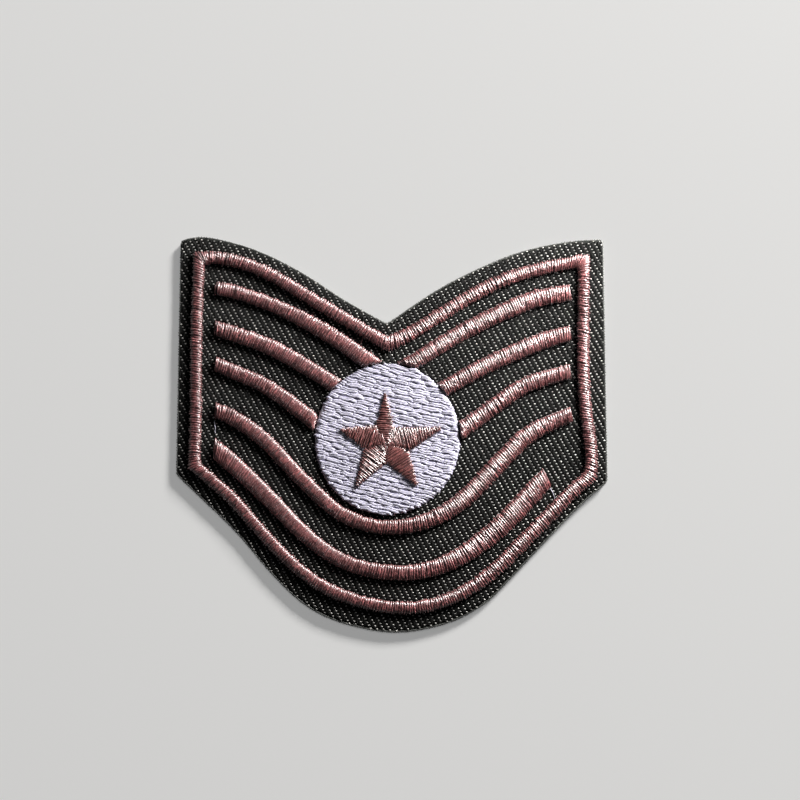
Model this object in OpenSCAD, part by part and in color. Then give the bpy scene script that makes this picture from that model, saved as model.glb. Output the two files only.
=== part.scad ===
// Embroidered rank patch: a twill ground cut to shape, satin-stitched stripes that stand proud of it,
// a fill-stitched disc and a five-armed star on the disc.
// The patch lies on its back. X runs to the right seen from the front, Y to the top of the design,
// Z out of the stitched face, and the origin is under the middle of its outline.

/* [Patch] */
// Width of the cloth, from side edge to side edge
patch_w = 76; // [66:1:102]
// Thickness of the twill with its backing
cloth_t = 1.2; // [1:0.1:2]
// Clearance between a stitched piece and what it lies on or next to
thread_gap = 0.05; // [0.03:0.01:0.1]

/* [Stripes] */
// Width of the line that runs round inside the edge
border_w = 2.1; // [1.6:0.1:2.6]
// Width of the stripes, which the tables below vary along each one
bar_w = 2.9; // [2.3:0.1:3.3]
// Height of the stripes over the cloth
rib_h = 0.95; // [0.6:0.05:1.3]

/* [Disc] */
// Width of the disc
disc_w = 25.7; // [24:0.1:26.5]
// Length of the disc, up and down the design
disc_l = 26.8; // [25:0.1:27.5]
// Height of the fill stitching over the cloth
disc_h = 0.55; // [0.4:0.05:0.9]

/* [Star] */
// Height of the star's arms over the disc
star_h = 0.6; // [0.4:0.05:0.9]
// Size of the star, as a share of its size in the tables
star_scale = 1; // [0.7:0.05:1.1]
// Clearance between two neighbouring arms
arm_gap = 0.16; // [0.1:0.02:0.3]

/* [Hidden] */

// The tables are drawn for a patch this wide, and the plan is scaled from there
drawn_w = 76;
plan = patch_w / drawn_w;

// Outline of the cloth, one table for each side between two corners
// x, y
edge_top_left = [
    [-37.9, 34.6],
    [-33.4, 35.2],
    [-25.1, 33.1],
    [-16.8, 29.1],
    [-8.6, 23.8],
    [-0.9, 19.4]
];
// x, y
edge_top_right = [
    [-0.9, 19.4],
    [9.7, 26.5],
    [21.6, 32.0],
    [31.0, 34.3],
    [37.9, 34.8]
];
// x, y
edge_bottom = [
    [38.0, -8.9],
    [32.9, -13.3],
    [27.0, -19.3],
    [21.1, -25.5],
    [16.0, -30.4],
    [9.5, -33.7],
    [0.9, -35.2],
    [-7.5, -33.9],
    [-14.5, -30.9],
    [-20.5, -25.6],
    [-27.2, -17.9],
    [-33.2, -12.1],
    [-38.0, -7.6]
];
corner_r = 0.8;
corner_steps = 4;
edge_steps = 5;

// A stripe is a row of rungs. Each row gives the middle of one rung, the length of the stitch
// there as a share of the stripe's width, and the stitch's angle from the X axis
// x, y, length share, angle
border_top_left = [
    [-34.5, 31.3, 1.38, 135],
    [-32.4, 31.4, 1.02, 98],
    [-28.1, 30.8, 1.02, 74],
    [-21.7, 28.3, 1.02, 64],
    [-13.1, 23.1, 1.04, 58],
    [-4.5, 17.9, 1.06, 60],
    [-0.7, 15.7, 1.24, 90]
];
// x, y, length share, angle
border_top_right = [
    [-0.7, 15.7, 1.24, 90],
    [3.4, 17.7, 1.15, 128],
    [10.4, 22.1, 1.15, 122],
    [16.9, 25.9, 1.12, 120],
    [23.3, 28.5, 1.10, 112],
    [31.9, 30.4, 1.06, 82],
    [34.3, 30.8, 1.45, 49]
];
// x, y, length share, angle
border_right = [
    [34.3, 30.8, 1.45, 49],
    [34.3, 28.2, 1.0, 10],
    [34.1, 18.0, 1.0, -8],
    [34.1, 7.0, 1.02, -10],
    [35.0, -1.6, 1.05, -6],
    [35.2, -5.4, 1.05, -14],
    [34.9, -7.9, 1.2, -27]
];
// x, y, length share, angle
border_bottom = [
    [34.9, -7.9, 1.2, -27],
    [31.8, -10.6, 1.18, -48],
    [25.0, -17.5, 1.2, -46],
    [18.2, -24.2, 1.16, -48],
    [12.4, -28.3, 1.08, -60],
    [6.0, -30.6, 1.0, -76],
    [-0.8, -30.8, 0.98, -96],
    [-8.6, -28.8, 1.0, -110],
    [-14.8, -25.4, 1.0, -124],
    [-21.2, -19.5, 1.0, -136],
    [-27.6, -12.4, 1.0, -138],
    [-31.9, -8.5, 1.0, -140],
    [-34.8, -6.1, 1.12, -155]
];
// x, y, length share, angle
border_left = [
    [-34.8, -6.1, 1.12, -155],
    [-34.8, -3.4, 0.98, -176],
    [-34.7, 4.0, 0.98, -186],
    [-34.8, 16.0, 0.98, -186],
    [-34.6, 28.6, 0.98, -194],
    [-34.5, 31.3, 1.38, -225]
];
border_sides = [border_top_left, border_top_right, border_right, border_bottom, border_left];

// x, y, length share, angle
bar_left_rungs = [
    [
        [-31.5, 25.8, 0.86, 90],
        [-27.5, 25.0, 0.88, 78],
        [-21.6, 22.9, 0.90, 66],
        [-15.2, 19.8, 0.98, 61],
        [-8.8, 15.9, 1.05, 56],
        [-2.6, 11.4, 1.06, 54]
    ],
    [
        [-31.5, 18.6, 0.98, 88],
        [-27.6, 17.4, 0.98, 74],
        [-21.5, 15.1, 1.0, 64],
        [-15.1, 11.5, 1.0, 58],
        [-8.6, 7.4, 1.0, 57]
    ],
    [
        [-31.4, 12.2, 0.92, 88],
        [-27.6, 10.5, 0.92, 72],
        [-21.5, 7.6, 0.98, 60],
        [-12.4, 0.8, 1.04, 52]
    ]
];
// x, y, length share, angle
bar_right_rungs = [
    [
        [1.6, 11.1, 1.0, 128],
        [6.2, 14.0, 1.02, 124],
        [12.6, 17.9, 1.06, 121],
        [19.0, 21.1, 1.10, 118],
        [25.4, 23.8, 1.12, 110],
        [31.9, 25.1, 1.02, 94]
    ],
    [
        [8.0, 6.9, 1.0, 120],
        [14.7, 10.8, 1.05, 118],
        [21.1, 13.9, 1.08, 114],
        [27.5, 16.5, 1.08, 106],
        [31.8, 17.6, 1.0, 94]
    ],
    [
        [10.6, -0.8, 1.06, 120],
        [14.6, 1.9, 1.06, 122],
        [18.9, 5.1, 1.04, 124],
        [24.2, 8.5, 1.0, 112],
        [31.7, 10.8, 0.96, 92]
    ]
];
// x, y, length share, angle
sweep_bar_rungs = [
    [
        [-31.3, 3.9, 0.95, 90],
        [-27.8, 2.3, 0.98, 68],
        [-22.4, -1.6, 0.95, 52],
        [-15.0, -9.3, 0.92, 46],
        [-8.6, -14.7, 0.90, 60],
        [-1.4, -16.9, 0.88, 84],
        [6.1, -15.8, 1.0, 108],
        [12.4, -12.2, 1.12, 130],
        [18.8, -5.7, 1.15, 136],
        [24.2, -0.5, 1.10, 124],
        [31.8, 3.2, 0.98, 96]
    ],
    [
        [-31.3, -3.0, 1.30, 87],
        [-27.7, -6.0, 1.14, 62],
        [-21.3, -12.1, 1.06, 46],
        [-14.9, -18.5, 0.96, 50],
        [-8.6, -22.8, 0.92, 64],
        [-1.4, -24.7, 0.94, 84],
        [6.1, -24.4, 1.0, 100],
        [13.0, -21.4, 1.18, 124],
        [19.4, -16.4, 1.28, 132],
        [24.4, -11.2, 1.30, 130],
        [27.4, -8.0, 1.24, 115]
    ]
];
rung_steps = 4;
arch_steps = 6;
arch_power = 1.6;
// The last stitch of a stripe lies lower than the rest
end_share = 0.6;
// A stitch with no length still stands as high as its thread, and each millimetre adds to that
thread_h = 0.15;
arch_rise = 0.5;

disc_middle = [-0.8, -1.3];
disc_steps = 72;
disc_round = 0.5;

// Middle of the star, and its arms: the angle and reach of the tip, and the angle and
// distance of the inner corner on its clockwise side, all from the middle
star_middle = [-0.9, -2.2];
// tip angle, tip reach, corner angle, corner distance
star_arms = [
    [92, 8.9, 66, 3.3],
    [16, 9.9, -17, 4.3],
    [-54, 9.0, -93, 3.6],
    [-126, 9.1, -166, 4.2],
    [163, 8.5, 120, 3.9]
];
arm_steps = 10;
arm_tip_w = 0.5;
arm_least_w = 0.06;
// The arms stop this far from the middle, so that they stay clear of each other there
arm_start = 2.2 * arm_gap;

stitch_z = cloth_t + thread_gap;
star_z = stitch_z + disc_h + thread_gap;

cloth_colour = [0.10, 0.10, 0.09];
rose_colour = [0.62, 0.40, 0.38];
star_colour = [0.50, 0.32, 0.27];
white_colour = [0.86, 0.84, 0.90];

// Smooth curve through the rows of a table, for any number of columns
function spline_row(p, i, t) =
    let (a = p[max(i - 1, 0)],
         b = p[i],
         c = p[min(i + 1, len(p) - 1)],
         d = p[min(i + 2, len(p) - 1)])
    0.5 * (2 * b + (c - a) * t + (2 * a - 5 * b + 4 * c - d) * t * t
           + (3 * b - a - 3 * c + d) * t * t * t);
function spline(p, steps) = [
    for (i = [0 : len(p) - 2], s = [0 : steps - 1]) spline_row(p, i, s / steps),
    p[len(p) - 1]
];
function direction(a) = [cos(a), sin(a)];
function unit(v) = v / norm(v);
function all_but_last(p) = [for (i = [0 : len(p) - 2]) p[i]];
// The points of a side that stay clear of the rounding at its two ends
function clear_of_ends(p) = [
    for (q = p) if (norm(q - p[0]) > corner_r && norm(q - p[len(p) - 1]) > corner_r) q
];

// Round a corner at b between the points a and c: a curve that leaves and meets both sides
function round_corner(a, b, c, r) =
    let (start = b + unit(a - b) * r, stop = b + unit(c - b) * r)
    [for (s = [0 : corner_steps])
        let (t = s / corner_steps)
        (1 - t) * (1 - t) * start + 2 * t * (1 - t) * b + t * t * stop];

// Outline of the cloth: the curved sides, with rounded corners between them
function cloth_outline() =
    let (tl = spline(edge_top_left, edge_steps),
         tr = spline(edge_top_right, edge_steps),
         bt = spline(edge_bottom, edge_steps),
         n_tl = len(tl),
         n_tr = len(tr),
         n_bt = len(bt))
    concat(
        round_corner(bt[n_bt - 1], tl[0], tl[1], corner_r),
        clear_of_ends(tl),
        round_corner(tl[n_tl - 2], tl[n_tl - 1], tr[1], corner_r / 2),
        clear_of_ends(tr),
        round_corner(tr[n_tr - 2], tr[n_tr - 1], bt[0], corner_r),
        round_corner(tr[n_tr - 1], bt[0], bt[1], corner_r),
        clear_of_ends(bt),
        round_corner(bt[n_bt - 2], bt[n_bt - 1], tl[0], corner_r)
    );

// One rung as the arched outline of the stitches there: a ring of points from one end of the
// rung over the top to the other end. A short rung is lower than a long one
function arch(middle, length, angle, z, h) =
    let (top = min(h, thread_h + arch_rise * length))
    [for (s = [0 : arch_steps])
        let (a = 180 * s / arch_steps,
             across = middle - direction(angle) * length / 2 * cos(a),
             up = pow(max(sin(a), 0), 1 / arch_power))
        [across[0], across[1], z + top * up]];

// Rungs of a stripe, row by row, with a lower rung at each open end
function stripe_arches(rungs, w, z, h) =
    let (rows = spline(rungs, rung_steps), last = len(rows) - 1)
    [for (i = [0 : last])
        let (row = rows[i], share = (i == 0 || i == last) ? end_share : 1)
        arch([row[0], row[1]] * plan, row[2] * w * plan, row[3], z, h * share)];

// Solid skin over a list of rings with as many points each, closed with a face at both ends
// or joined end to end. Seen along the list, the points of a ring run clockwise
module skin(rings, closed = false) {
    count = len(rings);
    side = len(rings[0]);
    spans = closed ? count : count - 1;
    points = [for (ring = rings) each ring];
    walls = [
        for (i = [0 : spans - 1], j = [0 : side - 1])
            let (a = i * side + j,
                 b = i * side + (j + 1) % side,
                 c = ((i + 1) % count) * side + (j + 1) % side,
                 d = ((i + 1) % count) * side + j)
            each [[a, b, c], [a, c, d]]
    ];
    start_face = [for (j = [side - 1 : -1 : 0]) j];
    end_face = [for (j = [0 : side - 1]) (count - 1) * side + j];
    polyhedron(points, closed ? walls : concat(walls, [start_face, end_face]), convexity = 8);
}

module stripe(rungs) {
    skin(stripe_arches(rungs, bar_w, stitch_z, rib_h));
}

// Room that the stripes leave for the disc
module disc_room() {
    translate([disc_middle[0] * plan, disc_middle[1] * plan, 0])
        linear_extrude(height = cloth_t + 2 * rib_h)
            disc_outline(thread_gap * 2);
}

module disc_outline(grow) {
    polygon([
        for (s = [0 : disc_steps - 1])
            let (a = 360 * s / disc_steps)
            [(disc_w * plan / 2 + grow) * cos(a), (disc_l * plan / 2 + grow) * sin(a)]
    ]);
}

module ground_cloth() {
    color(cloth_colour)
        linear_extrude(height = cloth_t)
            polygon(cloth_outline() * plan);
}

// The line's sides share the rungs at their corners, so each gives all of its rungs but the last
module border_line() {
    rows = [for (side = border_sides) each all_but_last(spline(side, rung_steps))];
    arches = [
        for (row = rows)
            arch([row[0], row[1]] * plan, row[2] * border_w * plan, row[3], stitch_z, rib_h)
    ];
    color(rose_colour)
        skin(arches, closed = true);
}

// A stripe that runs in to the disc and ends at its rim
module bar(rungs) {
    color(rose_colour)
        difference() {
            stripe(rungs);
            disc_room();
        }
}

module bar_left(number) {
    bar(bar_left_rungs[number - 1]);
}

module bar_right(number) {
    bar(bar_right_rungs[number - 1]);
}

module sweep_bar(number) {
    color(rose_colour)
        stripe(sweep_bar_rungs[number - 1]);
}

// The fill has a flat top and a rounded rim, so it is drawn as rings that step in as they rise
module disc_fill() {
    // share of the height, share of the rim's rounding
    rim = [[0, 0.1], [0.4, 0], [0.8, 0.35], [1, 1]];
    rings = [
        for (row = rim)
            [for (s = [0 : disc_steps - 1])
                let (a = -360 * s / disc_steps, inset = row[1] * disc_round)
                [disc_middle[0] * plan + (disc_w * plan / 2 - inset) * cos(a),
                 disc_middle[1] * plan + (disc_l * plan / 2 - inset) * sin(a),
                 stitch_z + row[0] * disc_h]]
    ];
    color(white_colour)
        skin(rings);
}

// Half width of an arm on one side at the distance s from the star's middle: it grows from the
// middle to the inner corner and shrinks again to the tip
function arm_side(s, corner_s, corner_w, reach) =
    s < corner_s
        ? corner_w * s / corner_s
        : corner_w + (arm_tip_w / 2 - corner_w) * (s - corner_s) / (reach - corner_s);

module star_arm(number) {
    arm = star_arms[number];
    before = star_arms[(number + len(star_arms) - 1) % len(star_arms)];
    axis = arm[0];
    k = plan * star_scale;
    reach = arm[1] * k;
    right_s = arm[3] * k * cos(axis - arm[2]);
    right_w = arm[3] * k * sin(axis - arm[2]);
    left_s = before[3] * k * cos(before[2] - axis);
    left_w = before[3] * k * sin(before[2] - axis);
    arches = [
        for (i = [0 : arm_steps])
            let (s = arm_start + (reach - arm_start) * i / arm_steps,
                 left = max(arm_side(s, left_s, left_w, reach) - arm_gap / 2, arm_least_w),
                 right = max(arm_side(s, right_s, right_w, reach) - arm_gap / 2, arm_least_w),
                 middle = star_middle * plan + direction(axis) * s
                          + direction(axis + 90) * (left - right) / 2)
            arch(middle, left + right, axis + 90, star_z, star_h)
    ];
    color(star_colour)
        skin(arches);
}

ground_cloth();
border_line();
bar_left(1);  // bar_left_1
bar_left(2);  // bar_left_2
bar_left(3);  // bar_left_3
bar_right(1);  // bar_right_1
bar_right(2);  // bar_right_2
bar_right(3);  // bar_right_3
sweep_bar(1);  // sweep_bar_1
sweep_bar(2);  // sweep_bar_2
disc_fill();
star_arm(0);  // star_point_top
star_arm(1);  // star_point_right
star_arm(2);  // star_point_lower_right
star_arm(3);  // star_point_lower_left
star_arm(4);  // star_point_left
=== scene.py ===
# %% [markdown]
# An embroidered rank patch, laid thread by thread.
#
# The real thing is a piece of stiffened twill, cut to shape with heat, that a sewing head has covered
# with stripes of satin stitch, a disc of fill stitch and a small star. Seen close up it has no smooth
# surface at all: everything that shows is thread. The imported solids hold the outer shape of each
# stripe, so they are loaded first, and every thread is then laid where its solid is.

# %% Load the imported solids
from typing import NamedTuple

import bpy
import numpy as np
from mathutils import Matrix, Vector


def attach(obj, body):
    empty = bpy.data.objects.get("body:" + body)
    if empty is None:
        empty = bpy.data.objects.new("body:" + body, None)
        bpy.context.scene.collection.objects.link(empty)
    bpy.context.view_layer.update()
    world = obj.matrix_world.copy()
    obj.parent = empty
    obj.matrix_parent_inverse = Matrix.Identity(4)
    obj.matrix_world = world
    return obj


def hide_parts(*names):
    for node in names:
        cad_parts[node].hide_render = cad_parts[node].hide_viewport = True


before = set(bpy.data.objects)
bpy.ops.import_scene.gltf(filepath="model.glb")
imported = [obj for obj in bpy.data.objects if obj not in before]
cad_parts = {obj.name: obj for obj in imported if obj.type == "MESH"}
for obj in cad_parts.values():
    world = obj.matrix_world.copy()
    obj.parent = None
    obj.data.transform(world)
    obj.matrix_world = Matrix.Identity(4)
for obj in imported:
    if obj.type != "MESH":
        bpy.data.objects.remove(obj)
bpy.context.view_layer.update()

MM = 0.001

# %% [markdown]
# The patch is drawn the way its maker draws it. The cloth is an outline of three curved and two
# straight sides, with rounded corners. A stripe is a row of rungs, and a rung is one stitch: its
# middle, its length as a share of the stripe's width, and the angle at which the thread lies. A bent
# tube would give every stitch the same slant. Rungs let the stitches fan round a corner and end
# upright, as sewn ones do.

# %% Sizes in millimetres, and counts
cloth_t = 1.2
thread_gap = 0.05
border_w = 2.1
bar_w = 2.9
rib_h = 0.95
disc_w = 25.7
disc_l = 26.8
disc_h = 0.55
arm_gap = 0.16
corner_r = 0.8
corner_steps = 4
edge_steps = 5
outline_gap = 0.4
thread_h = 0.15
arch_rise = 0.5
disc_middle = np.array([-0.8, -1.3])
star_middle = np.array([-0.9, -2.2])
arm_tip_w = 0.5
arm_least_w = 0.06
stitch_z = cloth_t + thread_gap
star_z = stitch_z + disc_h + thread_gap

# %% Outline of the cloth: x, y
edge_top_left = [
    [-37.9, 34.6],
    [-33.4, 35.2],
    [-25.1, 33.1],
    [-16.8, 29.1],
    [-8.6, 23.8],
    [-0.9, 19.4],
]
edge_top_right = [
    [-0.9, 19.4],
    [9.7, 26.5],
    [21.6, 32.0],
    [31.0, 34.3],
    [37.9, 34.8],
]
edge_bottom = [
    [38.0, -8.9],
    [32.9, -13.3],
    [27.0, -19.3],
    [21.1, -25.5],
    [16.0, -30.4],
    [9.5, -33.7],
    [0.9, -35.2],
    [-7.5, -33.9],
    [-14.5, -30.9],
    [-20.5, -25.6],
    [-27.2, -17.9],
    [-33.2, -12.1],
    [-38.0, -7.6],
]

# %% Rungs of the line round the edge: x, y, length share, angle
border_top_left = [
    [-34.5, 31.3, 1.38, 135],
    [-32.4, 31.4, 1.02, 98],
    [-28.1, 30.8, 1.02, 74],
    [-21.7, 28.3, 1.02, 64],
    [-13.1, 23.1, 1.04, 58],
    [-4.5, 17.9, 1.06, 60],
    [-0.7, 15.7, 1.24, 90],
]
border_top_right = [
    [-0.7, 15.7, 1.24, 90],
    [3.4, 17.7, 1.15, 128],
    [10.4, 22.1, 1.15, 122],
    [16.9, 25.9, 1.12, 120],
    [23.3, 28.5, 1.10, 112],
    [31.9, 30.4, 1.06, 82],
    [34.3, 30.8, 1.45, 49],
]
border_right = [
    [34.3, 30.8, 1.45, 49],
    [34.3, 28.2, 1.0, 10],
    [34.1, 18.0, 1.0, -8],
    [34.1, 7.0, 1.02, -10],
    [35.0, -1.6, 1.05, -6],
    [35.2, -5.4, 1.05, -14],
    [34.9, -7.9, 1.2, -27],
]
border_bottom = [
    [34.9, -7.9, 1.2, -27],
    [31.8, -10.6, 1.18, -48],
    [25.0, -17.5, 1.2, -46],
    [18.2, -24.2, 1.16, -48],
    [12.4, -28.3, 1.08, -60],
    [6.0, -30.6, 1.0, -76],
    [-0.8, -30.8, 0.98, -96],
    [-8.6, -28.8, 1.0, -110],
    [-14.8, -25.4, 1.0, -124],
    [-21.2, -19.5, 1.0, -136],
    [-27.6, -12.4, 1.0, -138],
    [-31.9, -8.5, 1.0, -140],
    [-34.8, -6.1, 1.12, -155],
]
border_left = [
    [-34.8, -6.1, 1.12, -155],
    [-34.8, -3.4, 0.98, -176],
    [-34.7, 4.0, 0.98, -186],
    [-34.8, 16.0, 0.98, -186],
    [-34.6, 28.6, 0.98, -194],
    [-34.5, 31.3, 1.38, -225],
]
border_sides = [border_top_left, border_top_right, border_right, border_bottom, border_left]

# %% Rungs of the stripes: x, y, length share, angle
bar_rungs = {
    "bar_left_1": [
        [-31.5, 25.8, 0.86, 90],
        [-27.5, 25.0, 0.88, 78],
        [-21.6, 22.9, 0.90, 66],
        [-15.2, 19.8, 0.98, 61],
        [-8.8, 15.9, 1.05, 56],
        [-2.6, 11.4, 1.06, 54],
    ],
    "bar_left_2": [
        [-31.5, 18.6, 0.98, 88],
        [-27.6, 17.4, 0.98, 74],
        [-21.5, 15.1, 1.0, 64],
        [-15.1, 11.5, 1.0, 58],
        [-8.6, 7.4, 1.0, 57],
    ],
    "bar_left_3": [
        [-31.4, 12.2, 0.92, 88],
        [-27.6, 10.5, 0.92, 72],
        [-21.5, 7.6, 0.98, 60],
        [-12.4, 0.8, 1.04, 52],
    ],
    "bar_right_1": [
        [1.6, 11.1, 1.0, 128],
        [6.2, 14.0, 1.02, 124],
        [12.6, 17.9, 1.06, 121],
        [19.0, 21.1, 1.10, 118],
        [25.4, 23.8, 1.12, 110],
        [31.9, 25.1, 1.02, 94],
    ],
    "bar_right_2": [
        [8.0, 6.9, 1.0, 120],
        [14.7, 10.8, 1.05, 118],
        [21.1, 13.9, 1.08, 114],
        [27.5, 16.5, 1.08, 106],
        [31.8, 17.6, 1.0, 94],
    ],
    "bar_right_3": [
        [10.6, -0.8, 1.06, 120],
        [14.6, 1.9, 1.06, 122],
        [18.9, 5.1, 1.04, 124],
        [24.2, 8.5, 1.0, 112],
        [31.7, 10.8, 0.96, 92],
    ],
}
sweep_bar_rungs = {
    "sweep_bar_1": [
        [-31.3, 3.9, 0.95, 90],
        [-27.8, 2.3, 0.98, 68],
        [-22.4, -1.6, 0.95, 52],
        [-15.0, -9.3, 0.92, 46],
        [-8.6, -14.7, 0.90, 60],
        [-1.4, -16.9, 0.88, 84],
        [6.1, -15.8, 1.0, 108],
        [12.4, -12.2, 1.12, 130],
        [18.8, -5.7, 1.15, 136],
        [24.2, -0.5, 1.10, 124],
        [31.8, 3.2, 0.98, 96],
    ],
    "sweep_bar_2": [
        [-31.3, -3.0, 1.30, 87],
        [-27.7, -6.0, 1.14, 62],
        [-21.3, -12.1, 1.06, 46],
        [-14.9, -18.5, 0.96, 50],
        [-8.6, -22.8, 0.92, 64],
        [-1.4, -24.7, 0.94, 84],
        [6.1, -24.4, 1.0, 100],
        [13.0, -21.4, 1.18, 124],
        [19.4, -16.4, 1.28, 132],
        [24.4, -11.2, 1.30, 130],
        [27.4, -8.0, 1.24, 115],
    ],
}

# %% Arms of the star: angle and reach of the tip, and of the inner corner clockwise of it
star_arms = {
    "star_point_top": [92, 8.9, 66, 3.3],
    "star_point_right": [16, 9.9, -17, 4.3],
    "star_point_lower_right": [-54, 9.0, -93, 3.6],
    "star_point_lower_left": [-126, 9.1, -166, 4.2],
    "star_point_left": [163, 8.5, 120, 3.9],
}

# %% [markdown]
# Few numbers make smooth lines when a curve is carried through them. A Bezier curve object would do
# it too, but the same cubic written for whole arrays also carries the length and the slant of the
# stitches along with their place, so one function serves the outline and every stripe.

# %% Curves through the tables
def spline(table, steps):
    """Smooth curve through the rows of a table. Between two rows it is the cubic that leaves each of
    them in the direction of the line between its two neighbours."""
    p = np.asarray(table, float)
    p = np.vstack([p[:1], p, p[-1:]])
    t = (np.arange(steps) / steps)[None, :, None]
    a, b, c, d = (p[i:len(p) - 3 + i, None] for i in range(4))
    rows = 0.5 * (
        2 * b
        + (c - a) * t
        + (2 * a - 5 * b + 4 * c - d) * t**2
        + (3 * b - a - 3 * c + d) * t**3
    )
    return np.vstack([rows.reshape(-1, p.shape[1]), p[-1:]])


def unit(v):
    """The same directions with a length of one."""
    return v / np.maximum(np.linalg.norm(v, axis=-1, keepdims=True), 1e-12)


def length_along(points):
    """Distance of each point from the first one, measured along the line."""
    return np.r_[0, np.cumsum(np.linalg.norm(np.diff(points[:, :2], axis=0), axis=1))]


def evenly(points, gap):
    """The closed line again, with points the same gap apart."""
    loop = np.vstack([points, points[:1]])
    along = length_along(loop)
    at = np.linspace(0, along[-1], int(round(along[-1] / gap)), endpoint=False)
    return np.stack([np.interp(at, along, column) for column in loop.T], 1)


def round_corner(a, b, c, r):
    """Corner at b between a and c, as the parabola that starts and ends the radius away from b."""
    start = b + unit(a - b) * r
    stop = b + unit(c - b) * r
    t = np.linspace(0, 1, corner_steps + 1)[:, None]
    return (1 - t) ** 2 * start + 2 * t * (1 - t) * b + t**2 * stop


def clear_of_ends(p):
    """The points of a side that stay clear of the rounding at its two ends."""
    from_ends = np.minimum(np.linalg.norm(p - p[0], axis=1), np.linalg.norm(p - p[-1], axis=1))
    return p[from_ends > corner_r]


def cloth_outline():
    """The five sides with rounded corners between them, clockwise seen from above. The straight ones,
    at the right and at the left, need no points of their own."""
    tl = spline(edge_top_left, edge_steps)
    tr = spline(edge_top_right, edge_steps)
    bt = spline(edge_bottom, edge_steps)
    return np.vstack([
        round_corner(bt[-1], tl[0], tl[1], corner_r),
        clear_of_ends(tl),
        round_corner(tl[-2], tl[-1], tr[1], corner_r / 2),
        clear_of_ends(tr),
        round_corner(tr[-2], tr[-1], bt[0], corner_r),
        round_corner(tr[-1], bt[0], bt[1], corner_r),
        clear_of_ends(bt),
        round_corner(bt[-2], bt[-1], tl[0], corner_r),
    ])


outline = evenly(cloth_outline(), outline_gap)
outline_ahead = unit(np.roll(outline, -1, axis=0) - np.roll(outline, 1, axis=0))
outline_inward = np.stack([outline_ahead[:, 1], -outline_ahead[:, 0]], 1)

# %% [markdown]
# Nearly everything here is a tube with an oval section: a stitch, a yarn of the twill, a loose end.
# Curve objects with a bevel could draw them, but thousands of curves are slow and their sections stay
# round. So one function carries an oval along thousands of paths at once, as one array, and another
# joins the tubes into a mesh. Each tube gets its own square on the piece's UV map, and a second map
# tells the material how far along and how far round the thread a point lies.

# %% Tubes from arrays
class Bundle(NamedTuple):
    """Points, the faces on them, and per corner of each face its place in the bundle's squares and
    its place on the thread. Shade is a brightness for each point: random tone, and on the low
    passes and the cores under the stitches, painted shade."""

    points: np.ndarray
    faces: list
    squares: list
    threads: list
    shade: np.ndarray


def grid_corners(rows, columns):
    """Row and column of the four corners of every field of a grid with that many rows and columns of
    fields. The corners of a field are given in turn, so each field becomes one face."""
    i, j = np.meshgrid(np.arange(rows), np.arange(columns), indexing="ij")
    row = np.stack([i, i, i + 1, i + 1], -1).reshape(-1, 4)
    column = np.stack([j, j + 1, j + 1, j], -1).reshape(-1, 4)
    return row, column


def tubes(path, side, width, thick, sides=6, shade=1.0):
    """Tubes with an oval section, for paths of shape (tubes, rows, 3). A ring is its path point, plus
    side times half the width times the cosine of the turn, plus up times half the thickness times the
    sine of the turn. Up is square to the path and to side. Each end is closed with one face."""
    count, rows = path.shape[:2]
    ahead = unit(np.gradient(path, axis=1))
    up = unit(np.cross(ahead, side))
    turn = np.pi / 2 + 2 * np.pi * np.arange(sides) / sides
    half_w = (width / 2)[..., None, None] * np.cos(turn)[:, None]
    half_t = (thick / 2)[..., None, None] * np.sin(turn)[:, None]
    rings = path[:, :, None] + side[:, :, None] * half_w + up[:, :, None] * half_t

    row, column = grid_corners(rows - 1, sides)
    first = np.arange(count)[:, None, None] * rows * sides
    walls = (first + row * sides + column % sides).reshape(-1, 4)
    around = np.arange(sides)
    caps = np.stack([around[::-1], (rows - 1) * sides + around])
    ends = (first + caps).reshape(-1, sides)

    steps = np.linalg.norm(np.diff(path, axis=1), axis=2)
    run = np.concatenate([np.zeros((count, 1)), np.cumsum(steps, axis=1)], axis=1)
    # In its square the walls leave a margin, where the two end faces lie as small specks.
    wall_square = np.stack([0.08 + 0.84 * row / (rows - 1), 0.06 + 0.88 * column / sides], -1)
    wall_thread = np.stack([run[:, row], np.broadcast_to(column / sides, (count, *column.shape))], -1)
    cap_at = np.array([0.04, 0.96])[:, None] + 0.02 * np.cos(turn)
    cap_square = np.stack([cap_at, np.broadcast_to(0.5 + 0.02 * np.sin(turn), cap_at.shape)], -1)
    cap_run = np.broadcast_to(run[:, [0, -1]][..., None], (count, 2, sides))
    cap_thread = np.stack([cap_run, np.broadcast_to(around / sides, cap_run.shape)], -1)

    shade = np.asarray(shade, float)
    if shade.ndim < 2:
        shade = shade.reshape(-1, 1)
    return Bundle(
        rings.reshape(-1, 3),
        [walls, ends],
        [np.broadcast_to(square, (count, *square.shape)) for square in (wall_square, cap_square)],
        [wall_thread, cap_thread],
        np.repeat(np.broadcast_to(shade, (count, rows)).reshape(-1), sides),
    )


def across_of(path):
    """For paths that run in an upright plane: the level direction square to each, to its left."""
    plan = unit(path[:, -1, :2] - path[:, 0, :2])
    side = np.stack([-plan[:, 1], plan[:, 0], np.zeros(len(plan))], 1)
    return np.broadcast_to(side[:, None], path.shape)


# %% Meshes from bundles
def set_corners(mesh, name, values):
    """A UV map with one pair of numbers for each corner of each face."""
    layer = mesh.uv_layers.new(name=name, do_init=False)
    layer.uv.foreach_set("vector", np.ascontiguousarray(values, np.float32).ravel())


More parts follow.
